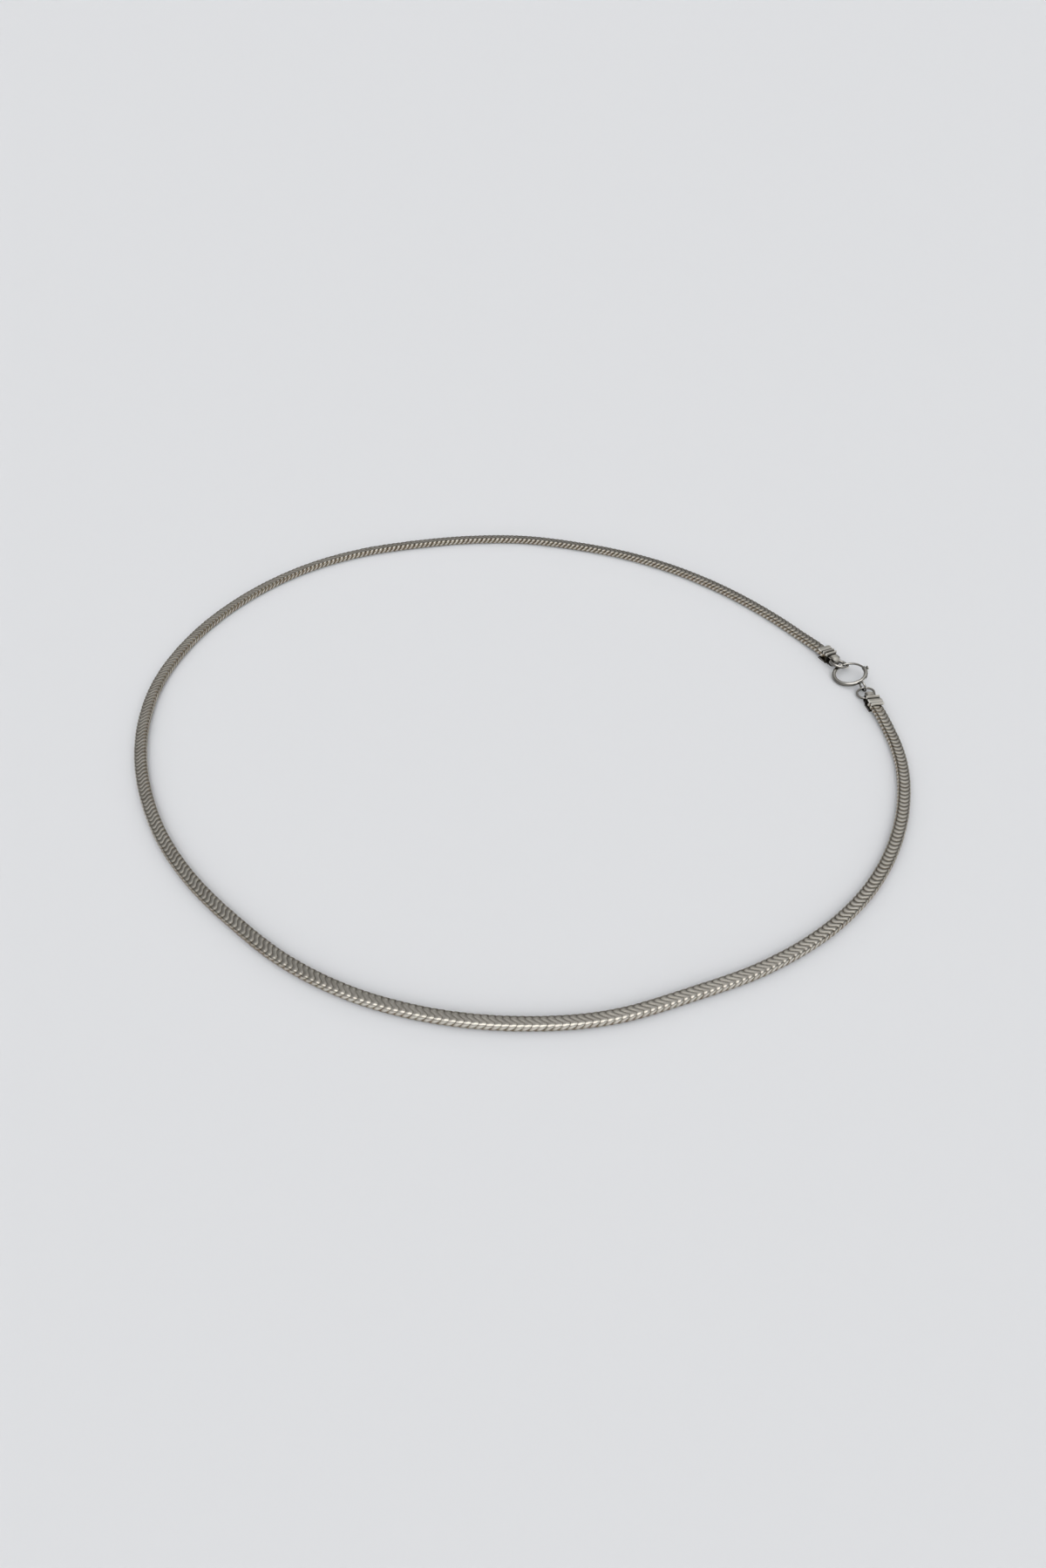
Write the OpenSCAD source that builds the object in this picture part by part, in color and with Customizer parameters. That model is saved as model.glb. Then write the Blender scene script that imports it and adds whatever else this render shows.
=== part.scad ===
// Snake chain necklace with folded end caps and a spring ring clasp, lying closed on a table.
// +Z is up, +X is the side that the clasp lies on, and the origin is under the middle of the loop.
// The loop is a closed route round the origin. Every piece of the clasp has a station on it: the
// distance along the route from the middle of the spring ring, counterclockwise as seen from above.

/* [Necklace] */
// Length of the closed necklace along the middle of the chain
necklace_length = 450; // [400:5:520]
// Bearing of the clasp, seen from the middle of the loop
clasp_bearing = 12.5; // [5:0.5:20]

/* [Chain] */
// Width of the chain
chain_w = 2.35; // [1.8:0.05:3]
// Height of the chain
chain_h = 1.4; // [1:0.05:2]
// Bevel along the chain's four edges
chain_bevel = 0.3; // [0.15:0.05:0.45]
// Length over which the chain comes down from a cap to the table
settle_l = 8; // [5:0.5:15]

/* [End caps] */
// Width of a cap
cap_w = 2.6; // [2.4:0.05:3.4]
// Thickness of the folded sheet
cap_sheet = 0.26; // [0.2:0.02:0.32]
// Length of the boxed part that holds the chain
box_l = 2.9; // [2.4:0.1:4]
// Length of the folded eye in front of the box
eye_l = 2.1; // [2:0.05:2.8]
// Width of the eye
eye_w = 1.9; // [1.5:0.05:2.1]
// Thickness of the wall between the chain and the eye
web_t = 0.3; // [0.2:0.05:0.5]
// Radius of the pressed ribs
rib_r = 0.2; // [0.12:0.01:0.24]
// How far the lower plate stands back from the mouth
lower_setback = 0.5; // [0.1:0.1:1]

/* [Jump ring] */
// Outside diameter of the jump ring that the clasp catches
jump_d = 4.2; // [3.9:0.05:4.8]
// Wire of the jump ring
jump_wire = 0.6; // [0.5:0.02:0.66]

/* [Link ring] */
// Outside diameter of the ring between the clasp and its cap
link_d = 3.75; // [3.5:0.05:4.4]
// Wire of the link ring
link_wire = 0.45; // [0.35:0.05:0.55]
// How far the link ring leans down on its inner side
link_roll = 10; // [0:1:14]

/* [Spring ring] */
// Outside diameter of the spring ring
spring_d = 7.05; // [6.6:0.05:8]
// Outside diameter of its tube
tube_d = 0.85; // [0.8:0.01:0.92]
// Wall of the tube
tube_wall = 0.13; // [0.1:0.01:0.15]
// Stretch left open by the tube, closed by the tongue
open_angle = 86; // [75:1:95]
// Turn of the tongue when it is drawn back
draw_angle = 48; // [35:1:55]
// Lean of the ring, outer side up
spring_lean = 15; // [8:1:18]
// Outside diameter of the eyelet soldered to the tube
eyelet_d = 2.4; // [2.2:0.05:2.8]
// Wire of the eyelet
eyelet_wire = 0.4; // [0.3:0.02:0.45]
// Diameter of the trigger's head
trigger_d = 0.8; // [0.6:0.05:1.1]
// Thickness of the trigger's head
trigger_t = 0.3; // [0.2:0.05:0.5]

/* [Clearances] */
// Between the chain and a cap's plates
grip_gap = 0.04; // [0.02:0.01:0.06]
// Between the chain's end and the wall of its cap
end_gap = 0.15; // [0.1:0.01:0.25]
// All round the tongue in the bore of the tube
slide_gap = 0.08; // [0.04:0.01:0.1]
// Between rings that pass through or over each other
pass_gap = 0.06; // [0.04:0.01:0.1]
// Between the spring ring and the table
table_gap = 0.05; // [0.02:0.01:0.1]
// Play of the jump ring on the tube, towards the middle of the spring ring
jump_slack = 0.28; // [0.2:0.02:0.5]
// Play of the jump ring in its cap's eye
jump_play = 0.52; // [0.46:0.02:0.6]
// Play of the link ring in its cap's eye
link_play = 0.6; // [0.3:0.05:0.7]

/* [Hidden] */
$fn = 48;

// The route, as bearing in degrees and distance from the middle as a share of the loop's size
BEARING = 0;
SHARE = 1;
ROUTE = [
    [0, 0.960], [10, 0.941], [20, 0.922], [30, 0.910], [40, 0.910], [50, 0.920],
    [60, 0.936], [70, 0.955], [80, 0.974], [90, 1.000], [100, 1.015], [110, 1.030],
    [120, 1.052], [130, 1.063], [140, 1.060], [150, 1.052], [160, 1.041], [170, 1.028],
    [180, 1.010], [190, 0.993], [200, 0.980], [210, 0.974], [220, 0.972], [230, 0.977],
    [240, 0.996], [250, 1.012], [260, 1.021], [270, 1.025], [280, 1.024], [290, 1.010],
    [300, 1.013], [310, 1.015], [320, 1.012], [330, 1.003], [340, 0.992], [350, 0.980]
];

function row(i) = ROUTE[(i + len(ROUTE)) % len(ROUTE)][SHARE];

// Smooth curve through four neighbouring values, at t from 0 to 1 between the middle two
function smooth_between(a, b, c, d, t) =
    b + t / 2 * (c - a + t * (2 * a - 5 * b + 4 * c - d + t * (3 * (b - c) + d - a)));

function share_at(bearing) =
    let (place = bearing / (ROUTE[1][BEARING] - ROUTE[0][BEARING]), i = floor(place))
    smooth_between(row(i - 1), row(i), row(i + 1), row(i + 2), place - i);

function share_point(bearing) = share_at(bearing) * [cos(bearing), sin(bearing)];

// Length along the route by bearing, for a loop of size 1, in steps fine enough to read between
route_step = 0.5;
route_arc = [
    for (b = 0, s = 0; b <= 360; s = s + norm(share_point(b + route_step) - share_point(b)), b = b + route_step)
        [s, b]
];
route_turn = route_arc[len(route_arc) - 1][0];
loop_size = necklace_length / route_turn;
bearing_arc = [for (pair = route_arc) [pair[1], pair[0]]];
clasp_arc = lookup(clasp_bearing, bearing_arc);

// Middle of the loop's box, so that the origin lies under it
loop_points = [for (b = [0 : 1 : 359]) loop_size * share_point(b)];
loop_x = [for (p = loop_points) p[0]];
loop_y = [for (p = loop_points) p[1]];
loop_middle = [(min(loop_x) + max(loop_x)) / 2, (min(loop_y) + max(loop_y)) / 2];

function turned(arc) = arc - route_turn * floor(arc / route_turn);
function spot(station) =
    loop_size * share_point(lookup(turned(clasp_arc + station / loop_size), route_arc)) - loop_middle;
heading_reach = 0.5;
function heading(station) =
    let (step = spot(station + heading_reach) - spot(station - heading_reach))
    atan2(step[1], step[0]);

// Wire and tube radii, and the middle circles of the rings
jump_wire_r = jump_wire / 2;
link_wire_r = link_wire / 2;
eyelet_wire_r = eyelet_wire / 2;
tube_r = tube_d / 2;
bore_r = tube_r - tube_wall;
tongue_r = bore_r - slide_gap;
jump_r = (jump_d - jump_wire) / 2;
link_r = (link_d - link_wire) / 2;
eyelet_r = (eyelet_d - eyelet_wire) / 2;
spring_r = (spring_d - tube_d) / 2;

// Cap: the sheet is folded over the chain, so its height follows the chain's
cap_h = chain_h + 2 * (cap_sheet + grip_gap);
cap_l = box_l + eye_l;
fold_r = cap_h / 2;
grip_l = box_l - web_t - end_gap;
lift_h = cap_sheet + grip_gap;

// Spring ring: it leans on its inner side, and its eyelet stands upright on the table
solder_sink = tube_wall * 0.8;
eyelet_place = spring_r + tube_r + eyelet_d / 2 - solder_sink;
spring_z = max(eyelet_d / 2, spring_r * sin(spring_lean) + tube_r) + table_gap;

// Jump ring: its inner side passes over the tube and its outer side under the tongue
jump_place = spring_r - tube_r - jump_slack + jump_r - jump_wire_r;
cross_x = (pow(spring_r, 2) - pow(jump_r, 2) + pow(jump_place, 2)) / (2 * jump_place);
cross_y = sqrt(pow(spring_r, 2) - pow(cross_x, 2));
lean_drop = cross_y * tan(spring_lean);
crossing_rise = 1 / pow(cos(spring_lean), 3);
over_z = spring_z - lean_drop + (tube_r + jump_wire_r + pass_gap) * crossing_rise;
under_z = spring_z + lean_drop - (tongue_r + jump_wire_r + pass_gap) * crossing_rise;
jump_roll = atan((over_z - under_z) / (2 * cross_y));
cross_z = (over_z + under_z) / 2;
jump_pitch = atan((cross_z - fold_r) / (jump_place + jump_r - cross_x));
jump_z = fold_r + jump_r * tan(jump_pitch);
catch_eye = cap_l - cap_sheet - jump_play - jump_wire_r;
catch_mouth = jump_place + jump_r + catch_eye;

// Link ring: it runs through the eyelet and the other cap's eye
link_z = spring_z - (eyelet_r - eyelet_wire_r - link_wire_r - pass_gap);
clasp_eye = cap_l - cap_sheet - link_play - link_wire_r;
clasp_mouth = eyelet_place + 2 * link_r + clasp_eye;

// The rings line up on straight lines: the spring ring and the jump ring on the one from the spring
// ring's middle to the catch cap's eye, the link ring on the one from the eyelet to the other eye
function ahead(point, bearing, distance) = point + distance * [cos(bearing), sin(bearing)];
function bearing_to(from, to) = atan2(to[1] - from[1], to[0] - from[0]);
catch_bearing = heading(catch_mouth) + 180;
clasp_cap_bearing = heading(-clasp_mouth);
spring_bearing = bearing_to(spot(0), ahead(spot(catch_mouth), catch_bearing, catch_eye));
eyelet_middle = ahead(spot(0), spring_bearing, -eyelet_place);
link_bearing = bearing_to(eyelet_middle, ahead(spot(-clasp_mouth), clasp_cap_bearing, clasp_eye));

// Tube and tongue, as angles counterclockwise from the side that the jump ring lies on
tube_start = -6;
tube_span = 360 - open_angle;
tube_end = tube_start + tube_span;
tongue_tip = tube_start + 4;
trigger_post_r = 0.12;
trigger_angle = tube_end - 6;
slot_start = trigger_angle - draw_angle - 5;
tongue_tail = slot_start - 3;

// Chain: from inside one cap, round the loop, to inside the other
chain_start = catch_mouth - grip_l;
chain_end = necklace_length - clasp_mouth + grip_l;
settle_steps = 4;
body_steps = 64;
body_start = catch_mouth + settle_l;
body_end = necklace_length - clasp_mouth - settle_l;
chain_stations = concat(
    [chain_start],
    [for (i = [0 : settle_steps - 1]) catch_mouth + settle_l * i / settle_steps],
    [for (i = [0 : body_steps]) body_start + (body_end - body_start) * i / body_steps],
    [for (i = [1 : settle_steps]) body_end + settle_l * i / settle_steps],
    [chain_end]
);

// Height of the chain's underside: on the caps' lower plates at both ends, on the table between
function ease(t) = t * t * (3 - 2 * t);
function lift(station) =
    let (away = min(station - catch_mouth, necklace_length - clasp_mouth - station))
    lift_h * (1 - ease(min(1, max(0, away / settle_l))));

chain_section = [
    [-chain_w / 2 + chain_bevel, 0], [chain_w / 2 - chain_bevel, 0],
    [chain_w / 2, chain_bevel], [chain_w / 2, chain_h - chain_bevel],
    [chain_w / 2 - chain_bevel, chain_h], [-chain_w / 2 + chain_bevel, chain_h],
    [-chain_w / 2, chain_h - chain_bevel], [-chain_w / 2, chain_bevel]
];

function section_at(station) =
    let (middle = spot(station), inward = heading(station) + 90, up = lift(station))
    [for (p = chain_section) [middle[0] + p[0] * cos(inward), middle[1] + p[0] * sin(inward), p[1] + up]];

module chain() {
    sides = len(chain_section);
    last = len(chain_stations) - 1;
    points = [for (s = chain_stations) each section_at(s)];
    walls = [
        for (i = [0 : last - 1], j = [0 : sides - 1])
            let (a = i * sides + j, b = i * sides + (j + 1) % sides)
            [a, a + sides, b + sides, b]
    ];
    first_face = [for (j = [0 : sides - 1]) j];
    last_face = [for (j = [sides - 1 : -1 : 0]) last * sides + j];
    color("silver")
        polyhedron(points, concat([first_face], walls, [last_face]), convexity = 10);
}

module wire_ring(middle_r, wire_r) {
    rotate_extrude()
        translate([middle_r, 0]) circle(wire_r);
}

module wire_arc(middle_r, wire_r, from, span) {
    rotate_extrude(start = from, angle = span)
        translate([middle_r, 0]) circle(wire_r);
}

// Stands a piece at a point of the plan and a height, with its own X along a bearing
module stand(point, z, bearing) {
    translate([point[0], point[1], z])
        rotate([0, 0, bearing])
            children();
}

module rounded_plate(l, w, r) {
    translate([r, -w / 2]) square([l - 2 * r, w]);
    translate([0, -w / 2 + r]) square([l, w - 2 * r]);
    for (x = [r, l - r], y = [-w / 2 + r, w / 2 - r])
        translate([x, y]) circle(r);
}

// Side view of a cap, with X towards the eye and Y up
module cap_side(ribs, grooves) {
    fold_x = cap_l - fold_r;
    difference() {
        union() {
            translate([0, cap_h - cap_sheet]) square([fold_x, cap_sheet]);
            translate([lower_setback, 0]) square([fold_x - lower_setback, cap_sheet]);
            translate([box_l - web_t, 0]) square([web_t, cap_h]);
            difference() {
                translate([fold_x, fold_r]) circle(fold_r);
                translate([fold_x, fold_r]) circle(fold_r - cap_sheet);
                translate([fold_x - cap_h, 0]) square([cap_h, cap_h]);
            }
            for (x = ribs)
                translate([x, cap_h - rib_r * 0.25]) circle(rib_r);
        }
        for (x = grooves)
            translate([x, cap_h + rib_r * 0.2]) circle(rib_r * 0.75);
    }
}

// Plan of a cap: a rounded box and a narrower eye with a round end
module cap_plan() {
    corner_r = cap_sheet;
    rounded_plate(box_l, cap_w, corner_r);
    translate([box_l - web_t, -eye_w / 2]) square([cap_l - eye_w / 2 - box_l + web_t, eye_w]);
    translate([cap_l - eye_w / 2, 0]) circle(eye_w / 2);
}

module end_cap(ribs, grooves) {
    color("gainsboro")
        intersection() {
            rotate([90, 0, 0])
                linear_extrude(height = cap_w, center = true) cap_side(ribs, grooves);
            linear_extrude(height = cap_h + rib_r) cap_plan();
        }
}

module catch_cap() {
    stand(spot(catch_mouth), 0, catch_bearing)
        end_cap(
            ribs = [box_l * 0.62, box_l * 0.92],
            grooves = [box_l * 0.49, box_l * 0.77, box_l + rib_r]
        );
}

module clasp_cap() {
    stand(spot(-clasp_mouth), 0, clasp_cap_bearing)
        end_cap(
            ribs = [rib_r, box_l * 0.9],
            grooves = [rib_r * 2.5, box_l * 0.74, box_l + rib_r]
        );
}

module jump_ring() {
    color("gainsboro")
        stand(ahead(spot(0), spring_bearing, jump_place), jump_z, spring_bearing)
            rotate([0, jump_pitch, 0])
                rotate([jump_roll, 0, 0])
                    wire_ring(jump_r, jump_wire_r);
}

module link_ring() {
    color("gainsboro")
        stand(ahead(eyelet_middle, link_bearing, link_r), link_z, link_bearing)
            rotate([link_roll, 0, 0])
                wire_ring(link_r, link_wire_r);
}

// The spring ring's own frame: its middle, leaning down on the inner side
module at_spring() {
    stand(spot(0), spring_z, spring_bearing)
        rotate([-spring_lean, 0, 0])
            children();
}

module spring_ring() {
    slot_h = 2 * (trigger_post_r + slide_gap / 2);
    color("gainsboro")
        at_spring()
            difference() {
                union() {
                    wire_arc(spring_r, tube_r, tube_start, tube_span);
                    translate([-eyelet_place, 0, 0])
                        rotate([90, 0, 0])
                            wire_ring(eyelet_r, eyelet_wire_r);
                }
                wire_arc(spring_r, bore_r, tube_start - 2, tube_span + 4);
                rotate_extrude(start = slot_start, angle = tube_end - slot_start + 2)
                    translate([spring_r, -slot_h / 2]) square([tube_d, slot_h]);
            }
}

module tongue() {
    head_x = spring_r + tube_r + slide_gap / 2;
    color("whitesmoke")
        at_spring() {
            wire_arc(spring_r, tongue_r, tongue_tail, 360 + tongue_tip - tongue_tail);
            rotate([0, 0, tongue_tip])
                translate([spring_r, 0, 0]) sphere(tongue_r);
            rotate([0, 0, trigger_angle])
                translate([spring_r, 0, 0])
                    rotate([0, 90, 0])
                        cylinder(r = trigger_post_r, h = head_x - spring_r + trigger_t / 2);
            rotate([0, 0, trigger_angle])
                translate([head_x, 0, 0])
                    rotate([0, 90, 0])
                        cylinder(d = trigger_d, h = trigger_t);
        }
}

chain();
catch_cap();
clasp_cap();
jump_ring();
link_ring();
spring_ring();
tongue();
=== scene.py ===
"""Snake chain necklace: its interlocked links and its finishes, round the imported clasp."""

import math

import bmesh
import bpy
import numpy as np
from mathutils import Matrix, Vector
from mathutils.bvhtree import BVHTree


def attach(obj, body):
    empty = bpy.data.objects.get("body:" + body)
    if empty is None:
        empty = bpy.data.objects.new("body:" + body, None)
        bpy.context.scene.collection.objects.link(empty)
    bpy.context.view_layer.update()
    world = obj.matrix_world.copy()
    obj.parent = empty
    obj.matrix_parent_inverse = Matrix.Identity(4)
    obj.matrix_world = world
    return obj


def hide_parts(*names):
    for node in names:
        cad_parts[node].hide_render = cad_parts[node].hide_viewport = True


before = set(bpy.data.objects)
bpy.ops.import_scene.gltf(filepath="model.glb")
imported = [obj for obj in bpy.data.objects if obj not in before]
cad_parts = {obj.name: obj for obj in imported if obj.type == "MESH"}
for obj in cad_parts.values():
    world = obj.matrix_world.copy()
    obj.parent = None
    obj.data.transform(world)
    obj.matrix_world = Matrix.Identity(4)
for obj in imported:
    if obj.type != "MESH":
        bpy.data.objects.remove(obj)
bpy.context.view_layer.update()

MM = 0.001

# Camera, at the photograph's angle
CAMERA_PLACE = Vector((1.73, -182.86, 136.5)) * MM
CAMERA_PITCH = 39.6
CAMERA_LENS = 27.3
CAMERA_CLIP = (0.01, 50)
SENSOR = 36.0

# Route of the chain, with the same sizes and shares as the solids
NECKLACE_LENGTH = 450 * MM
CLASP_BEARING = 12.5
HEADING_REACH = 0.5 * MM
ROUTE_SAMPLES = 4501
TABLE_STEP = 0.5
ROUTE_STEP = 10
ROUTE_SHARES = [
    0.960, 0.941, 0.922, 0.910, 0.910, 0.920, 0.936, 0.955, 0.974, 1.000, 1.015, 1.030,
    1.052, 1.063, 1.060, 1.052, 1.041, 1.028, 1.010, 0.993, 0.980, 0.974, 0.972, 0.977,
    0.996, 1.012, 1.021, 1.025, 1.024, 1.010, 1.013, 1.015, 1.012, 1.003, 0.992, 0.980,
]

# Chain
CHAIN_W = 2.35 * MM
CHAIN_H = 1.4 * MM
GRIP_L = 2.45 * MM
LIFT_H = 0.3 * MM
SETTLE_L = 8 * MM

# Link: a closed wavy band with a rounded face, and a lip that tucks into the next one
LINK_PITCH = 1.08 * MM
SEAM_GAP = 0.012 * MM
SEAM_SWAY = 0.55 * MM
VERTEX_INSET = 0.04 * MM
BAND_DROP = 0.052 * MM
EDGE_DROP = 0.012 * MM
EDGE_ROUNDING = 14
NOTCH_DROP = 0.07 * MM
NOTCH_ROUNDING = 7
NOTCH_START = 0.3 * MM
NOTCH_FULL = 0.85 * MM
BAND_WALL = 0.235 * MM
LIP_TUCK = 0.30 * MM
LIP_DEPTH = 0.27 * MM
LINK_DEPTH = 0.42 * MM
CORNER_R = 0.52 * MM
CORNER_R_LEAST = 0.05 * MM
FACE_CROWN = 0.008 * MM
CORNER_STEPS = 6
WIDE_STEPS = 8
NARROW_STEPS = 3
LINK_TURN_JITTER = math.radians(0.5)
LINK_SHIFT_JITTER = 0.006 * MM
LINK_PIECES = 5
JITTER_SEED = 7

# Steps across a link's face, and how far along its half its wall, its neck and its core reach
FACE_STEPS = (0.99, 0.95, 0.87, 0.72, 0.5, 0.25)
LIP_EDGE = 0.04 * MM
WALL_REACH = 0.96
NECK_REACH = 0.35
CORE_REACH = 0.25

# Darkening on the links, patina and painted shade together: narrow in the seams of the top face and faint
# where the bands are flat, full in the notches along its inner edge; painted shade wide and low on the sides
# and on the outer side, where it stays low in front; and a plain darkening of the inner side, more towards
# its seams
TOP_SEAM_REACH = 7
TOP_SEAM_DARKENING = 0.3
NOTCH_SEAM_REACH = 2.6
SIDE_SHADE_REACH = 1.6
SIDE_SHADE_HEIGHT = 0.45 * MM
OUTER_SHADE_DEPTH = 0.44
LOW_SHADE_START = 0.65 * MM
LOW_SHADE_HEIGHT = 0.25 * MM
INNER_DARKENING = 0.12
INNER_SEAM_DARKENING = 0.5

# Round the loop, each as bearing and share: the chain is a little twisted on the right, where its waves sit
# further out on the top face, its bands are rounder everywhere but in front, and there the painted shade on
# its outer side is kept to its lower part
TWIST_SHIFT = 0.6 * MM
TWIST_CALM = 0.4
ROUND_DROP = 0.11 * MM
TWISTS = ((12, 0.6), (55, 0.6), (80, 0.0), (300, 0.0), (325, 1.0), (352, 1.0), (368, 0.6))
ROUNDNESS = (
    (12, 0.8), (110, 0.5), (150, 0.3), (185, 0.4), (215, 0.6),
    (250, 0.0), (300, 0.0), (325, 1.0), (368, 0.8),
)
OUTER_SHADE_BY_BEARING = (
    (12, 1.0), (195, 1.0), (215, 1.8), (233, 1.6),
    (250, 0.0), (302, 0.0), (322, 1.0), (368, 1.0),
)

# Caps: softened edges, and lands, ribs and grooves pressed across the top, placed as shares of the box's
# length from its mouth, and a plate with rounded sides behind the last groove; painted shade, with some
# patina, in the grooves, and painted shade on the plate's rounded sides
CATCH_MOUTH = 9.615 * MM
CLASP_MOUTH = 11.836 * MM
BOX_L = 2.9 * MM
WEB_T = 0.3 * MM
CAP_TOP = 1.75 * MM
TOP_FADE = 0.15 * MM
INSIDE_MARGIN = 0.1 * MM
MERGE_REACH = 0.0005 * MM
SMOOTH_ANGLE = math.radians(50)
FLAT_ANGLE = math.radians(0.5)
CAP_EDGE_ANGLE = math.radians(50)
CAP_SOFTNESS = 0.07 * MM
CAP_SOFT_STEPS = 3
CAP_MESH_STEP = 0.10 * MM
CAP_MESH_CUTS = 3
RIB_H = 0.17 * MM
RIB_REACH = 0.21 * MM
GROOVE_D = 0.2 * MM
GROOVE_REACH = 0.16 * MM
GROOVE_SHADE_REACH = 0.24 * MM
LAND_H = 0.16 * MM
CATCH_RIBS = (0.62, 0.92)
CATCH_GROOVES = (0.49, 0.77, 1.07)
CATCH_LAND = (0.0, 0.47)
CLASP_RIBS = (0.06, 0.90)
CLASP_GROOVES = (0.17, 0.74, 1.07)
CLASP_LAND = (0.2, 0.72)
PLATE_SIDES = (0.5 * MM, 0.8 * MM)
PLATE_CROWN = 0.14 * MM
PLATE_SIDE_SHADE = 0.8

# Painted shade where a point sees little open sky, and on the sides and undersides of the rings, fading out
# on those facing +X
SHADE_RAYS = 28
RAY_LIFT = 0.02 * MM
SHADE_REACH = 4 * MM
SHADE_START = 0.14
SHADE_FULL = 0.46
RING_SIDES = (0.8, 0.25)
RING_SIDE_SHADE = 0.8
RING_SHADE_FADE = (0.05, 0.5)

# Colours, as linear values
FLOOR_COLOUR = (0.80, 0.81, 0.83, 1)
CLEAN_SILVER = (0.87, 0.83, 0.75, 1)
BRIGHT_SILVER = (0.90, 0.87, 0.81, 1)
CAP_SILVER = (0.95, 0.92, 0.85, 1)
# Patina colours that the chain's painted shade also mixes towards, and a near-black that the clasp's painted
# shade and its faint patina clouds mix towards
PATINA_AND_SHADE_COLOUR = (0.27, 0.225, 0.155, 1)
WARM_PATINA_AND_SHADE_COLOUR = (0.25, 0.19, 0.13, 1)
CLASP_SHADE_AND_PATINA_COLOUR = (0.055, 0.048, 0.036, 1)
SEEN_BACKGROUND = (0.73, 0.737, 0.753, 1)

# Finishes, as silver, roughness and its spread, clouds of patina, depth of the wear, and two colours for
# patina and painted shade
FINISHES = {
    "chain_silver": (CLEAN_SILVER, 0.2, 0.1, 0.15, 0.004 * MM, PATINA_AND_SHADE_COLOUR, WARM_PATINA_AND_SHADE_COLOUR),
    "cap_silver": (CAP_SILVER, 0.54, 0.08, 0.1, 0.002 * MM, CLASP_SHADE_AND_PATINA_COLOUR, CLASP_SHADE_AND_PATINA_COLOUR),
    "ring_silver": (BRIGHT_SILVER, 0.1, 0.06, 0.06, 0.001 * MM, CLASP_SHADE_AND_PATINA_COLOUR, CLASP_SHADE_AND_PATINA_COLOUR),
}
WEAR_STRENGTH = 0.4
CLOUD_SPAN = (0.35, 0.7)
BLOTCH_SIZE = 620.0
BLOTCH_SPAN = (0.42, 0.62)
SCRATCH_STRETCH = (1.0, 0.12, 1.0)
SCRATCH_TURN = (0.0, 0.0, 0.6)

# Studio: what the silver mirrors is a big softbox overhead, a little towards the camera, in a dim room
SOFTBOX_ELEVATION = 68
SOFTBOX_REACH = 31
SOFTBOX_BLUR = 4
SOFTBOX_LEVEL = 1.25
ROOM_LEVELS = ((0.0, 0.10), (0.47, 0.16), (0.62, 0.15), (0.78, 0.27), (0.92, 0.38))
FRONT_GLOW = 0.30
FRONT_GLOW_SPAN = (0.1, -0.9)
SIDE_GLOW_AZIMUTH = 148
SIDE_GLOW_ELEVATION = 50
SIDE_GLOW_REACH = 30
SIDE_GLOW = 0.14

# Floor, and what lights it: an even white dome, and a wide low light from the camera's side, as name,
# elevation, angle across and strength
FLOOR_REACH = 6.0
FLOOR_ROUGHNESS = 0.9
FLOOR_LIGHTS = (("dome_light", 85, 170, 2.0), ("front_light", 30, 60, 1.72))


# Route

def share_at(bearing):
    """Distance from the middle as a share of the loop's size, on a smooth curve through the table."""
    place = np.asarray(bearing) / ROUTE_STEP
    i = np.floor(place).astype(int)
    t = place - i
    shares = np.array(ROUTE_SHARES)
    a, b, c, d = (shares[(i + k) % len(shares)] for k in (-1, 0, 1, 2))
    return b + t / 2 * (c - a + t * (2 * a - 5 * b + 4 * c - d + t * (3 * (b - c) + d - a)))


def share_points(bearing):
    """Points on the route round its middle, for a loop of size 1."""
    turn = np.radians(bearing)
    return share_at(bearing)[..., None] * np.stack([np.cos(turn), np.sin(turn)], axis=-1)


TABLE_BEARINGS = np.arange(0, 360 + TABLE_STEP / 2, TABLE_STEP)
TABLE_POINTS = share_points(TABLE_BEARINGS)
TABLE_ARC = np.concatenate([[0], np.cumsum(np.linalg.norm(np.diff(TABLE_POINTS, axis=0), axis=1))])
ROUTE_TURN = TABLE_ARC[-1]
LOOP_SIZE = NECKLACE_LENGTH / ROUTE_TURN
CLASP_ARC = np.interp(CLASP_BEARING, TABLE_BEARINGS, TABLE_ARC)
LOOP_POINTS = LOOP_SIZE * share_points(np.arange(360))
LOOP_MIDDLE = (LOOP_POINTS.min(axis=0) + LOOP_POINTS.max(axis=0)) / 2


def spot(station):
    """Place on the table at a distance along the route from the spring ring's middle."""
    arc = np.mod(CLASP_ARC + np.asarray(station) / LOOP_SIZE, ROUTE_TURN)
    return LOOP_SIZE * share_points(np.interp(arc, TABLE_ARC, TABLE_BEARINGS)) - LOOP_MIDDLE


def share_by_bearing(station, shares):
    """A share from a table by bearing, at a distance along the route."""
    arc = CLASP_ARC + station / LOOP_SIZE
    bearing = np.interp(arc, np.append(TABLE_ARC, TABLE_ARC[1:] + ROUTE_TURN),
                        np.append(TABLE_BEARINGS, TABLE_BEARINGS[1:] + 360))
    return np.interp(bearing, *zip(*shares))


def heading(station):
    """Angle from +X of the way that the route runs."""
    step = spot(station + HEADING_REACH) - spot(station - HEADING_REACH)
    return np.arctan2(step[..., 1], step[..., 0])


def chain_ends():
    """Stations of the chain's two ends, read from its solid."""
    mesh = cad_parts["chain"].data
    points = np.empty(len(mesh.vertices) * 3)
    mesh.vertices.foreach_get("co", points)
    points = points.reshape(-1, 3)[:, :2]
    stations = np.linspace(0, NECKLACE_LENGTH, ROUTE_SAMPLES)
    route = spot(stations)
    nearest = [stations[np.argmin(((route - p) ** 2).sum(axis=1))] for p in points]
    return min(nearest), max(nearest)


CHAIN_START, CHAIN_END = chain_ends()


def lift(station):
    """Height of the chain's underside: on the caps' plates at both ends, on the table between."""
    away = np.minimum(station - CHAIN_START, CHAIN_END - station) - GRIP_L
    t = np.clip(away / SETTLE_L, 0, 1)
    return LIFT_H * (1 - t * t * (3 - 2 * t))


# Links

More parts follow.
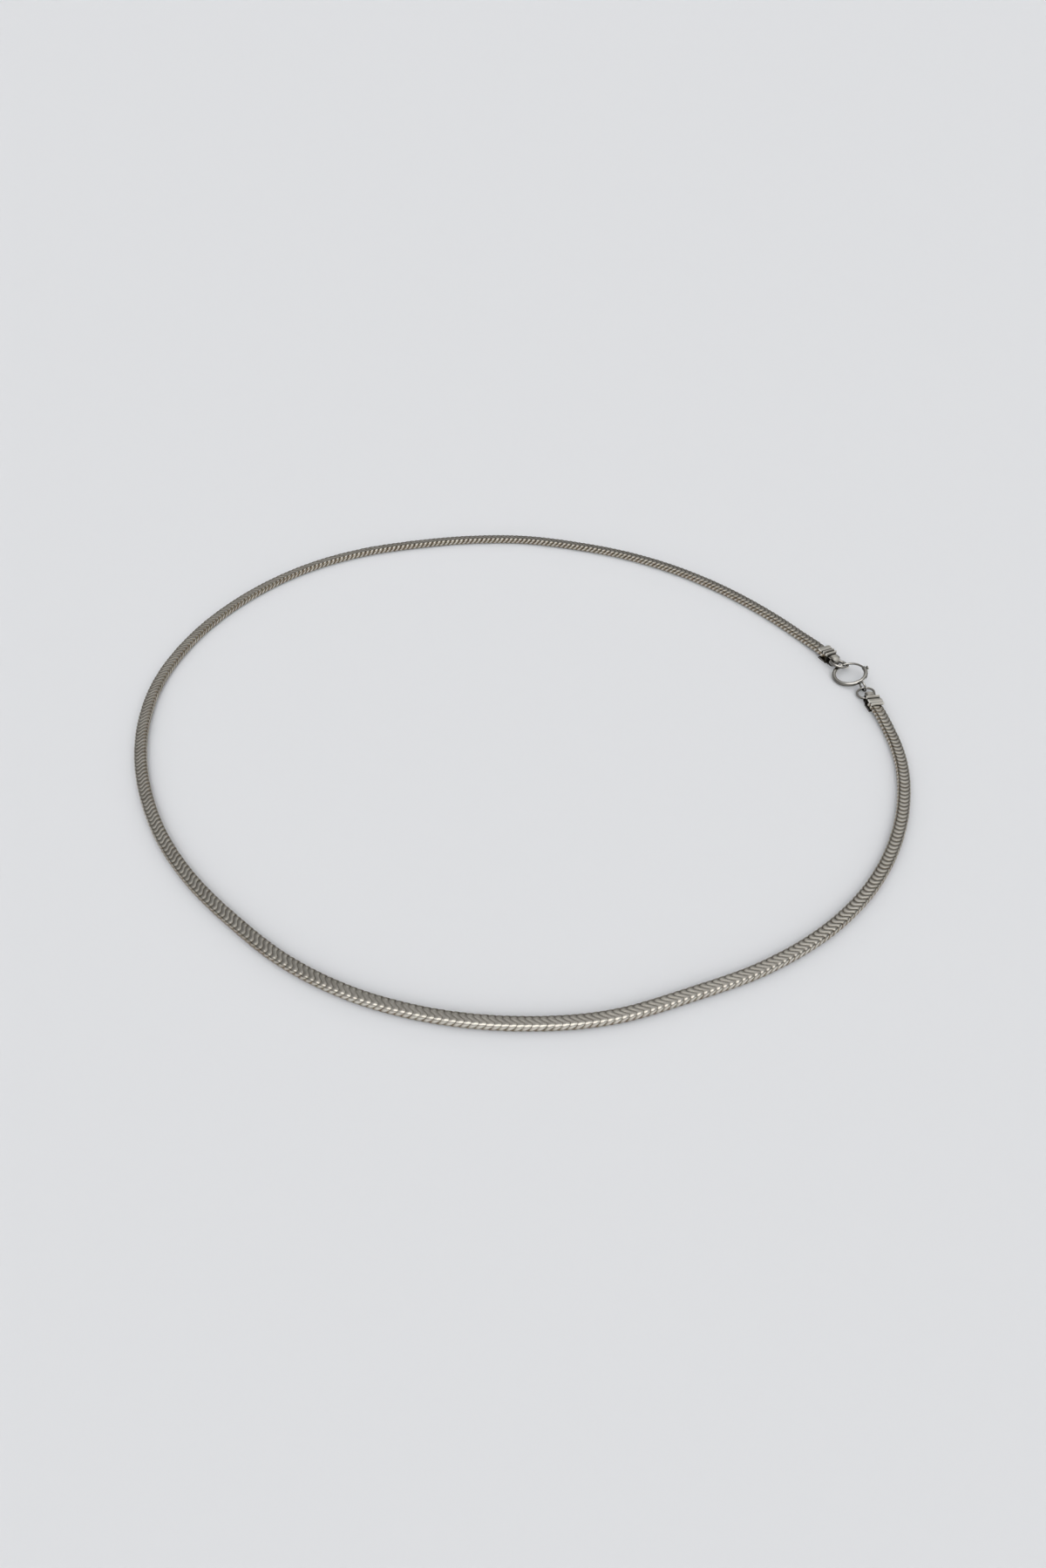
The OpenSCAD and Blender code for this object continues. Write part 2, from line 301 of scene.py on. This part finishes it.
def section_outline(depth):
    """The chain's outline at a depth under its surface, one point per column, with outward normals."""
    r = max(CORNER_R - depth, CORNER_R_LEAST)
    crown = FACE_CROWN * (1 - depth / (CHAIN_H / 2))
    half_w, half_h = CHAIN_W / 2 - depth - r - crown, CHAIN_H / 2 - depth - r - crown
    points = []
    corners = [(half_w, half_h, 0), (-half_w, half_h, 90), (-half_w, -half_h, 180), (half_w, -half_h, 270)]
    for k, (x, y, start) in enumerate(corners):
        for i in range(CORNER_STEPS + 1):
            turn = math.radians(start + 90 * i / CORNER_STEPS)
            points.append((x + r * math.cos(turn), y + r * math.sin(turn)))
        next_x, next_y, _ = corners[(k + 1) % 4]
        steps = WIDE_STEPS if k % 2 == 0 else NARROW_STEPS
        turn = math.radians(start + 90)
        out_x, out_y = math.cos(turn), math.sin(turn)
        for i in range(1, steps):
            t = i / steps
            bulge = r + crown * (4 * t * (1 - t))
            points.append((x + (next_x - x) * t + out_x * bulge, y + (next_y - y) * t + out_y * bulge))
    return np.array(points)


def sway_by_column(twisted):
    """How far along the chain each column is displaced, in waves that turn back at the wide faces' ends."""
    outline = section_outline(0)
    steps = np.linalg.norm(np.diff(outline, axis=0, append=outline[:1]), axis=1)
    place = np.concatenate([[0], np.cumsum(steps)])
    wide_start = place[CORNER_STEPS] + VERTEX_INSET
    wide_end = place[CORNER_STEPS + WIDE_STEPS] - VERTEX_INSET
    half = place[-1] / 2
    at = np.mod(place[:-1] - TWIST_SHIFT * twisted - wide_start, place[-1])
    turns = np.array([0, wide_end - wide_start, half, half + wide_end - wide_start, 2 * half])
    return -SEAM_SWAY * (1 - TWIST_CALM * twisted) * np.cos(math.pi * np.interp(at, turns, [0, 1, 2, 3, 4]))


def band_profile(face_drop, edge_drop, rounding):
    """Profile of a link along the chain: place, depth, and share of the way from its middle to its seam."""
    half = (LINK_PITCH - SEAM_GAP) / 2
    lip = -half - LIP_TUCK
    rows = [(lip, (LIP_DEPTH + LINK_DEPTH) / 2, 1), (lip + LIP_EDGE, LIP_DEPTH, 1), (-half, LIP_DEPTH, 1)]
    for u in (-1, *(-step for step in FACE_STEPS), 0, *FACE_STEPS[::-1], 1):
        drop = face_drop * (1 - math.cos(math.pi * u)) / 2 + edge_drop * abs(u) ** rounding
        rows.append((half * u, drop, abs(u)))
    rows += [(half * WALL_REACH, BAND_WALL, 1), (half * NECK_REACH, BAND_WALL, 1)]
    rows += [(half * CORE_REACH, LINK_DEPTH, 1), (lip + LIP_EDGE, LINK_DEPTH, 1)]
    return rows


def band_outlines(rows):
    """The chain's outline at the depth of each row of a profile."""
    return np.array([section_outline(depth) for _, depth, _ in rows])


BAND_ROWS = band_profile(BAND_DROP, EDGE_DROP, EDGE_ROUNDING)
NOTCHES = np.clip((section_outline(0)[:, 0] - NOTCH_START) / (NOTCH_FULL - NOTCH_START), 0, 1)
PLAIN_OUTLINES = band_outlines(BAND_ROWS)
ROUNDED_CHANGE = band_outlines(band_profile(ROUND_DROP, EDGE_DROP, EDGE_ROUNDING)) - PLAIN_OUTLINES
NOTCHED_CHANGE = band_outlines(band_profile(BAND_DROP, NOTCH_DROP, NOTCH_ROUNDING)) - PLAIN_OUTLINES
BAND_OUTLINES = PLAIN_OUTLINES + NOTCHED_CHANGE * NOTCHES[:, None]


def link_faces():
    """Faces of one link: its rows and its columns both close."""
    columns, count = len(BAND_OUTLINES[0]), len(BAND_ROWS)
    return np.array([
        (i * columns + j, i * columns + (j + 1) % columns,
         (i + 1) % count * columns + (j + 1) % columns, (i + 1) % count * columns + j)
        for i in range(count) for j in range(columns)
    ])


def link_points(twisted, rounded):
    """One link in its own frame: X along the chain, Y inwards, Z up from the chain's middle."""
    sway = sway_by_column(twisted)
    return np.concatenate([
        np.column_stack([place + sway, outline])
        for (place, _, _), outline in zip(BAND_ROWS, BAND_OUTLINES + ROUNDED_CHANGE * rounded)
    ])


def link_patina_and_shade():
    """Patina and painted shade at each point of a flat link, the painted shade in the seams that rounding
    adds to it, and the full and the low painted shade of the outer side.
    """
    flat, added, outer_shade, low_outer_shade = [], [], [], []
    for (_, _, towards_seam), outline in zip(BAND_ROWS, BAND_OUTLINES):
        low = np.clip((CHAIN_H / 2 - outline[:, 1]) / SIDE_SHADE_HEIGHT, 0, 1)
        outer, inner = (np.clip((side * outline[:, 0] - CHAIN_W / 2 + CORNER_R) / (CORNER_R * 0.6), 0, 1)
                        for side in (-1, 1))
        reach = TOP_SEAM_REACH + (NOTCH_SEAM_REACH - TOP_SEAM_REACH) * NOTCHES
        seam = towards_seam ** (reach + (SIDE_SHADE_REACH - reach) * low)
        faint = seam * np.maximum(TOP_SEAM_DARKENING, np.maximum(low, NOTCHES))
        flat.append(faint + inner * (INNER_DARKENING + INNER_SEAM_DARKENING * towards_seam))
        added.append(seam - faint)
        outer_shade.append(outer * low * OUTER_SHADE_DEPTH)
        under = np.clip((CHAIN_H / 2 - LOW_SHADE_START - outline[:, 1]) / LOW_SHADE_HEIGHT, 0, 1)
        low_outer_shade.append(outer * under * OUTER_SHADE_DEPTH)
    return [np.concatenate(part) for part in (flat, added, outer_shade, low_outer_shade)]


def turned(points, yaw, pitch, roll):
    """Points turned about their own X by roll, then Y by pitch, then Z by yaw."""
    for a, b, turn in ((1, 2, roll), (2, 0, pitch), (0, 1, yaw)):
        c, s = math.cos(turn), math.sin(turn)
        u, v = points[:, a] * c - points[:, b] * s, points[:, a] * s + points[:, b] * c
        points = points.copy()
        points[:, a], points[:, b] = u, v
    return points


def link_stations():
    """Where the links sit along the route, evenly spread from end to end of the chain."""
    reach = LINK_PITCH / 2 + SEAM_SWAY
    first, last = CHAIN_START + reach, CHAIN_END - reach
    count = round((last - first) / LINK_PITCH) + 1
    return np.linspace(first, last, count)


def add_links():
    """The links in place of the chain's tube, each a little turned and shifted, joined into a few pieces."""
    finish = silver("chain_silver")
    faces, (flat, added, outer_shade, low_outer_shade) = link_faces(), link_patina_and_shade()
    draw = np.random.default_rng(JITTER_SEED)
    for k, stations in enumerate(np.array_split(link_stations(), LINK_PIECES)):
        all_points, all_faces, all_patina_and_shade = [], [], []
        for n, s in enumerate(stations):
            x, y = spot(s)
            rise = (lift(s + HEADING_REACH) - lift(s - HEADING_REACH)) / (2 * HEADING_REACH)
            yaw, pitch, roll = draw.normal(0, LINK_TURN_JITTER, 3)
            rounded = share_by_bearing(s, ROUNDNESS)
            placed = link_points(share_by_bearing(s, TWISTS), rounded)
            placed = turned(placed, heading(s) + yaw, -math.atan(rise) + pitch, roll)
            placed += np.array([x, y, CHAIN_H / 2 + lift(s)]) + draw.normal(0, LINK_SHIFT_JITTER, 3)
            placed[:, 2] += max(0, -placed[:, 2].min())
            all_points.append(placed)
            all_faces.append(faces + n * len(placed))
            # Painted shade on the outer side, by bearing, and more painted shade in the seams where the
            # bands are rounder
            outer_shaded = share_by_bearing(s, OUTER_SHADE_BY_BEARING)
            patina_and_shade = flat + added * min(1, 2 * rounded) + outer_shade * outer_shaded + low_outer_shade * max(0, 1 - outer_shaded)
            all_patina_and_shade.append(np.clip(patina_and_shade, 0, 1))
        mesh = bpy.data.meshes.new(f"chain_links_{k + 1}")
        mesh.from_pydata(np.concatenate(all_points).tolist(), [], np.concatenate(all_faces).tolist())
        marks = mesh.attributes.new("patina_and_shade", "FLOAT", "POINT")
        marks.data.foreach_set("value", np.concatenate(all_patina_and_shade).astype(np.float32))
        mesh.shade_smooth()
        piece = bpy.data.objects.new(mesh.name, mesh)
        bpy.context.scene.collection.objects.link(piece)
        mesh.materials.append(finish)
        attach(piece, "necklace")
        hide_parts("chain")
        piece.visible_diffuse = False


# Node groups

def new_group(name, inputs, outputs):
    """An empty shader group with its sockets, as name, kind and default."""
    group = bpy.data.node_groups.new(name, "ShaderNodeTree")
    for label, kind, value in inputs:
        socket = group.interface.new_socket(name=label, in_out="INPUT", socket_type=kind)
        socket.default_value = value
    for label, kind in outputs:
        group.interface.new_socket(name=label, in_out="OUTPUT", socket_type=kind)
    start, end = group.nodes.new("NodeGroupInput"), group.nodes.new("NodeGroupOutput")
    return group, start.outputs, end.inputs


def add_node(tree, kind, settings=None, **sockets):
    """A node with its properties set, and its inputs set to values or linked to other sockets."""
    node = tree.nodes.new(kind)
    for key, value in (settings or {}).items():
        setattr(node, key, value)
    for label, value in sockets.items():
        socket = node.inputs[int(label[1:]) if label[0] == "_" else label.replace("_", " ")]
        if isinstance(value, bpy.types.NodeSocket):
            tree.links.new(value, socket)
        else:
            socket.default_value = value
    return node


def patina_and_shade_group():
    """Silver that darkens towards its dark colours in soft clouds of patina, and where its mask of patina
    and painted shade is set.
    """
    group, given, out = new_group(
        "patina_and_shade_mix",
        [("Silver", "NodeSocketColor", CLEAN_SILVER), ("Patina And Shade Colour", "NodeSocketColor", PATINA_AND_SHADE_COLOUR),
         ("Warm Patina And Shade Colour", "NodeSocketColor", WARM_PATINA_AND_SHADE_COLOUR),
         ("Patina And Shade", "NodeSocketFloat", 0.0), ("Cloud Size", "NodeSocketFloat", 300.0),
         ("Cloud Strength", "NodeSocketFloat", 0.3)],
        [("Color", "NodeSocketColor")],
    )
    where = add_node(group, "ShaderNodeTexCoord")
    cloud = add_node(group, "ShaderNodeTexNoise", Vector=where.outputs["Object"], Scale=given["Cloud Size"],
                     Detail=4.0, Roughness=0.6)
    spread = add_node(group, "ShaderNodeMapRange", Value=cloud.outputs["Fac"],
                      From_Min=CLOUD_SPAN[0], From_Max=CLOUD_SPAN[1])
    soft = add_node(group, "ShaderNodeMath", {"operation": "MULTIPLY"},
                    _0=spread.outputs["Result"], _1=given["Cloud Strength"])
    mask = add_node(group, "ShaderNodeMath", {"operation": "ADD", "use_clamp": True},
                    _0=soft.outputs[0], _1=given["Patina And Shade"])
    blotch = add_node(group, "ShaderNodeTexNoise", Vector=where.outputs["Object"], Scale=BLOTCH_SIZE,
                      Detail=1.0)
    warmth = add_node(group, "ShaderNodeMapRange", Value=blotch.outputs["Fac"],
                      From_Min=BLOTCH_SPAN[0], From_Max=BLOTCH_SPAN[1])
    patina_and_shade_mix = add_node(group, "ShaderNodeMix", {"data_type": "RGBA"}, _0=warmth.outputs["Result"],
                       _6=given["Patina And Shade Colour"], _7=given["Warm Patina And Shade Colour"])
    colour = add_node(group, "ShaderNodeMix", {"data_type": "RGBA"}, _0=mask.outputs[0],
                      _6=given["Silver"], _7=patina_and_shade_mix.outputs[2])
    group.links.new(colour.outputs[2], out["Color"])
    return group


def fine_wear_group():
    """Roughness and a relief of hairline scratches and faint dents."""
    group, given, out = new_group(
        "fine_wear",
        [("Roughness", "NodeSocketFloat", 0.25), ("Spread", "NodeSocketFloat", 0.1),
         ("Scratch Size", "NodeSocketFloat", 2500.0), ("Dent Size", "NodeSocketFloat", 900.0)],
        [("Roughness", "NodeSocketFloat"), ("Height", "NodeSocketFloat")],
    )
    where = add_node(group, "ShaderNodeTexCoord")
    smear = add_node(group, "ShaderNodeMapping", _0=where.outputs["Object"],
                     Scale=SCRATCH_STRETCH, Rotation=SCRATCH_TURN)
    scratch = add_node(group, "ShaderNodeTexNoise", Vector=smear.outputs[0], Scale=given["Scratch Size"],
                       Detail=3.0, Roughness=0.7)
    dent = add_node(group, "ShaderNodeTexNoise", Vector=where.outputs["Object"], Scale=given["Dent Size"],
                    Detail=2.0)
    vary = add_node(group, "ShaderNodeMath", {"operation": "MULTIPLY_ADD"},
                    _0=scratch.outputs["Fac"], _1=given["Spread"], _2=given["Roughness"])
    height = add_node(group, "ShaderNodeMath", {"operation": "ADD"},
                      _0=scratch.outputs["Fac"], _1=dent.outputs["Fac"])
    group.links.new(vary.outputs[0], out["Roughness"])
    group.links.new(height.outputs[0], out["Height"])
    return group


PATINA_AND_SHADE_GROUP = patina_and_shade_group()
FINE_WEAR_GROUP = fine_wear_group()


# Materials

def silver(name):
    """A silver finish: patina clouds and painted shade for its colour, fine wear for its roughness and
    relief.
    """
    colour, roughness, spread, clouds, depth, dark_colour, warm_dark_colour = FINISHES[name]
    material = bpy.data.materials.new(name)
    material.use_nodes = True
    tree = material.node_tree
    tree.nodes.clear()
    shader = add_node(tree, "ShaderNodeBsdfPrincipled", Metallic=1.0)
    add_node(tree, "ShaderNodeOutputMaterial", Surface=shader.outputs[0])
    patina_and_shade_mix = add_node(tree, "ShaderNodeGroup", {"node_tree": PATINA_AND_SHADE_GROUP})
    patina_and_shade_mix.inputs["Silver"].default_value = colour
    patina_and_shade_mix.inputs["Patina And Shade Colour"].default_value = dark_colour
    patina_and_shade_mix.inputs["Warm Patina And Shade Colour"].default_value = warm_dark_colour
    patina_and_shade_mix.inputs["Cloud Strength"].default_value = clouds
    wear = add_node(tree, "ShaderNodeGroup", {"node_tree": FINE_WEAR_GROUP})
    wear.inputs["Roughness"].default_value = roughness
    wear.inputs["Spread"].default_value = spread
    # The mark of patina and painted shade that the links and the clasp's copies carry
    mark = add_node(tree, "ShaderNodeAttribute", {"attribute_name": "patina_and_shade"})
    tree.links.new(mark.outputs["Fac"], patina_and_shade_mix.inputs["Patina And Shade"])
    tree.links.new(patina_and_shade_mix.outputs["Color"], shader.inputs["Base Color"])
    tree.links.new(wear.outputs["Roughness"], shader.inputs["Roughness"])
    bump = add_node(tree, "ShaderNodeBump", Strength=WEAR_STRENGTH, Distance=depth,
                    Height=wear.outputs["Height"])
    tree.links.new(bump.outputs[0], shader.inputs["Normal"])
    return material


def plain_floor(name):
    """A dull pale finish."""
    material = bpy.data.materials.new(name)
    material.use_nodes = True
    shader = material.node_tree.nodes["Principled BSDF"]
    shader.inputs["Base Color"].default_value = FLOOR_COLOUR
    shader.inputs["Roughness"].default_value = FLOOR_ROUGHNESS
    shader.inputs["Specular IOR Level"].default_value = 0.0
    return material


# Clasp

def soften_edges(shape):
    """Rounds the sharp edges of a cap, and cuts its faces small enough to carry painted shade."""
    bmesh.ops.dissolve_limit(shape, angle_limit=FLAT_ANGLE, verts=shape.verts, edges=shape.edges)
    sharp = [e for e in shape.edges if e.is_manifold and e.calc_face_angle() > CAP_EDGE_ANGLE]
    bmesh.ops.bevel(shape, geom=sharp, offset=CAP_SOFTNESS, segments=CAP_SOFT_STEPS, profile=0.5,
                    affect="EDGES", clamp_overlap=True)
    for _ in range(CAP_MESH_CUTS):
        bmesh.ops.triangulate(shape, faces=shape.faces)
        long = [e for e in shape.edges if e.calc_length() > CAP_MESH_STEP]
        bmesh.ops.subdivide_edges(shape, edges=long, cuts=1)
    bmesh.ops.triangulate(shape, faces=shape.faces)


def press_top(shape, mouth, bearing, ribs, grooves, land):
    """Presses a cap's land, ribs and grooves into its top, and returns how much painted shade each point
    gets: in the grooves, with some patina, on the plate's rounded sides, and full inside the box behind its
    web.
    """
    x0, y0 = spot(mouth)
    along = np.array([math.cos(bearing), math.sin(bearing)])
    lined = []
    for point in shape.verts:
        place = np.array([point.co.x - x0, point.co.y - y0])
        x, y = place @ along, abs(along[0] * place[1] - along[1] * place[0])
        gap = min(abs(x - at * BOX_L) for at in grooves)
        near = math.exp(-(gap / GROOVE_REACH) ** 2)
        raised = max(math.exp(-((x - at * BOX_L) / RIB_REACH) ** 2) for at in ribs)
        t = (2 * x / BOX_L - land[0] - land[1]) / (land[1] - land[0])
        plate = np.interp(x, (BOX_L, grooves[-1] * BOX_L), (0, 1))
        on_top = min(1, max(0, (point.co.z - CAP_TOP) / TOP_FADE))
        point.co.z += on_top * (RIB_H * raised - GROOVE_D * near + LAND_H * max(0, 1 - t * t))
        point.co.z -= plate * PLATE_CROWN * (y / PLATE_SIDES[1]) ** 2 * min(1, max(0, point.co.z / CAP_TOP))
        # Painted shade, with some patina, in the grooves; painted shade on the plate's rounded sides, and
        # full painted shade inside the box behind its web
        groove_shade = math.exp(-(gap / GROOVE_SHADE_REACH) ** 4)
        line = max(groove_shade, plate * np.interp(y, PLATE_SIDES, (0, PLATE_SIDE_SHADE)))
        inside = point.co.z < CAP_TOP - INSIDE_MARGIN and BOX_L - WEB_T < x < BOX_L
        lined.append(1 if inside else line * on_top)
    return lined


def shaped_copy(node, pressed):
    """A copy of a solid's mesh, pressed and with soft edges if it is a cap, and how much painted shade each
    point gets.
    """
    shape = bmesh.new()
    shape.from_mesh(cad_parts[node].data)
    bmesh.ops.remove_doubles(shape, verts=shape.verts, dist=MERGE_REACH)
    lined = None
    if pressed:
        soften_edges(shape)
        lined = press_top(shape, *pressed)
    mesh = bpy.data.meshes.new(f"{node}_finish")
    shape.to_mesh(mesh)
    shape.free()
    mesh.shade_smooth()
    mesh.set_sharp_from_angle(angle=SMOOTH_ANGLE)
    # Painted shade on the rings' sides and undersides, fading out on those that face +X
    sides = [RING_SIDE_SHADE * np.interp(-point.normal.z, (-RING_SIDES[0], -RING_SIDES[1]), (0, 1))
             * np.interp(point.normal.x, RING_SHADE_FADE, (1, 0)) for point in mesh.vertices]
    return mesh, lined or sides


def sky_rays():
    """Directions spread over the half-space above Z, closer together round Z."""
    k = np.arange(SHADE_RAYS) + 0.5
    out, turn = np.sqrt(k / SHADE_RAYS), k * math.pi * (3 - math.sqrt(5))
    rays = np.column_stack([out * np.cos(turn), out * np.sin(turn), np.sqrt(1 - out ** 2)])
    return [Vector(ray) for ray in rays]


def mark_painted_shade(mesh, lined, metal):
    """Marks painted shade on the lined points, and on those with much of their sky blocked close by, by
    metal or the table.
    """
    rays = sky_rays()
    marks = []
    for point, line in zip(mesh.vertices, lined):
        aim = point.normal.to_track_quat("Z", "Y")
        start = point.co + point.normal * RAY_LIFT
        blocked = 0
        for ray in rays:
            towards = aim @ ray
            reach = metal.ray_cast(start, towards, SHADE_REACH)[3] or SHADE_REACH
            if towards.z < 0:
                reach = min(reach, -start.z / towards.z)
            blocked += max(0, 1 - reach / SHADE_REACH)
        marks.append(min(1, max(line, (blocked / SHADE_RAYS - SHADE_START) / (SHADE_FULL - SHADE_START))))
    mesh.attributes.new("patina_and_shade", "FLOAT", "POINT").data.foreach_set("value", marks)


def add_clasp():
    """Copies of the clasp's solids, the caps with softened edges and pressed tops, with painted shade in the
    hollows and silver finishes.
    """
    cap, ring = silver("cap_silver"), silver("ring_silver")
    catch = (CATCH_MOUTH, heading(CATCH_MOUTH) + math.pi, CATCH_RIBS, CATCH_GROOVES, CATCH_LAND)
    clasp = (-CLASP_MOUTH, heading(-CLASP_MOUTH), CLASP_RIBS, CLASP_GROOVES, CLASP_LAND)
    parts = (
        ("catch_cap", "necklace", "cap_silver", cap, catch),
        ("clasp_cap", "necklace", "cap_silver", cap, clasp),
        ("jump_ring", "necklace", "ring_silver", ring, None),
        ("link_ring", "necklace", "ring_silver", ring, None),
        ("spring_ring", "necklace", "ring_silver", ring, None),
        ("tongue", "tongue", "tongue_silver", ring, None),
    )
    copies = [shaped_copy(node, pressed) for node, _, _, _, pressed in parts]
    points, faces = [], []
    for mesh in [mesh for mesh, _ in copies] + [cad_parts["chain"].data]:
        faces += [[len(points) + v for v in face.vertices] for face in mesh.polygons]
        points += [v.co for v in mesh.vertices]
    metal = BVHTree.FromPolygons(points, faces)
    for (mesh, lined), (node, body, slot, finish, _) in zip(copies, parts):
        mark_painted_shade(mesh, lined, metal)
        piece = bpy.data.objects.new(mesh.name, mesh)
        bpy.context.scene.collection.objects.link(piece)
        mesh.materials.append(finish)
        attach(piece, body)
        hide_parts(node)
        piece.visible_diffuse = False


# Stage

def add_floor():
    """The pale floor that the necklace lies on."""
    mesh = bpy.data.meshes.new("floor")
    corners = [(x * FLOOR_REACH, y * FLOOR_REACH, 0) for x, y in ((-1, -1), (1, -1), (1, 1), (-1, 1))]
    mesh.from_pydata(corners, [], [(0, 1, 2, 3)])
    floor = bpy.data.objects.new("floor", mesh)
    bpy.context.scene.collection.objects.link(floor)
    mesh.materials.append(plain_floor("pale_floor"))


def from_camera_side(azimuth, elevation):
    """Unit direction to a light: azimuth 0 is behind the camera, 90 on its right."""
    a, e = math.radians(azimuth), math.radians(elevation)
    return Vector((math.sin(a) * math.cos(e), -math.cos(a) * math.cos(e), math.sin(e)))


def add_floor_lights():
    """Wide far lights on everything dull; the silver mirrors the room instead of them."""
    for name, elevation, angle, strength in FLOOR_LIGHTS:
        light = bpy.data.lights.new(name, "SUN")
        light.angle = math.radians(angle)
        light.energy = strength
        light.cycles.use_multiple_importance_sampling = False
        lamp = bpy.data.objects.new(name, light)
        bpy.context.scene.collection.objects.link(lamp)
        lamp.rotation_euler = from_camera_side(0, elevation).to_track_quat("Z", "Y").to_euler()
        lamp.visible_glossy = False


def add_disc(tree, where, azimuth, elevation, outer, inner, level):
    """A round patch of the sky that fades out between two angles from its middle."""
    facing = add_node(tree, "ShaderNodeVectorMath", {"operation": "DOT_PRODUCT"}, _0=where,
                      _1=from_camera_side(azimuth, elevation))
    fade = add_node(tree, "ShaderNodeMapRange", {"interpolation_type": "SMOOTHSTEP"},
                    Value=facing.outputs["Value"], From_Min=math.cos(math.radians(outer)),
                    From_Max=math.cos(math.radians(inner)), To_Min=0.0, To_Max=level)
    return fade.outputs[0]


def add_world():
    """The room by direction: darker near the horizon, a soft glow in front, and the softbox overhead."""
    world = bpy.data.worlds.new("pale_room")
    bpy.context.scene.world = world
    world.use_nodes = True
    tree = world.node_tree
    tree.nodes.clear()
    where = add_node(tree, "ShaderNodeTexCoord").outputs["Generated"]
    parts = add_node(tree, "ShaderNodeSeparateXYZ", _0=where)
    room = add_node(tree, "ShaderNodeValToRGB", Fac=parts.outputs["Z"])
    stops = room.color_ramp.elements
    stops.remove(stops[1])
    stops[0].position, stops[0].color = 0, (*[ROOM_LEVELS[0][1]] * 3, 1)
    for at, level in ROOM_LEVELS[1:]:
        stops.new(at).color = (level, level, level, 1)
    glow = add_node(tree, "ShaderNodeMapRange", {"interpolation_type": "SMOOTHSTEP"},
                    Value=parts.outputs["Y"], From_Min=FRONT_GLOW_SPAN[0], From_Max=FRONT_GLOW_SPAN[1],
                    To_Min=0.0, To_Max=FRONT_GLOW)
    side = add_disc(tree, where, SIDE_GLOW_AZIMUTH, SIDE_GLOW_ELEVATION, SIDE_GLOW_REACH, 0, SIDE_GLOW)
    ahead = add_node(tree, "ShaderNodeMath", _0=room.outputs["Color"], _1=glow.outputs[0])
    lit = add_node(tree, "ShaderNodeMath", _0=ahead.outputs[0], _1=side)
    box = add_disc(tree, where, 0, SOFTBOX_ELEVATION,
                   SOFTBOX_REACH + SOFTBOX_BLUR, SOFTBOX_REACH - SOFTBOX_BLUR, 1)
    level = add_node(tree, "ShaderNodeMix", {"data_type": "FLOAT"},
                     _0=box, _2=lit.outputs[0], _3=SOFTBOX_LEVEL)
    path = add_node(tree, "ShaderNodeLightPath")
    seen = add_node(tree, "ShaderNodeMix", {"data_type": "RGBA"}, _0=path.outputs["Is Camera Ray"],
                    _6=level.outputs[0], _7=SEEN_BACKGROUND)
    back = add_node(tree, "ShaderNodeBackground", Color=seen.outputs[2])
    add_node(tree, "ShaderNodeOutputWorld", Surface=back.outputs[0])
    world.cycles_visibility.diffuse = False


def add_camera():
    """The camera, where the photograph's stood."""
    data = bpy.data.cameras.new("camera")
    data.lens = CAMERA_LENS
    data.sensor_width = SENSOR
    data.clip_start, data.clip_end = CAMERA_CLIP
    camera = bpy.data.objects.new("camera", data)
    bpy.context.scene.collection.objects.link(camera)
    camera.location = CAMERA_PLACE
    camera.rotation_euler = (math.radians(90 - CAMERA_PITCH), 0, 0)
    bpy.context.scene.camera = camera


add_camera()
add_world()
add_floor_lights()
add_floor()
add_links()
add_clasp()
bpy.context.scene.view_settings.view_transform = "Standard"
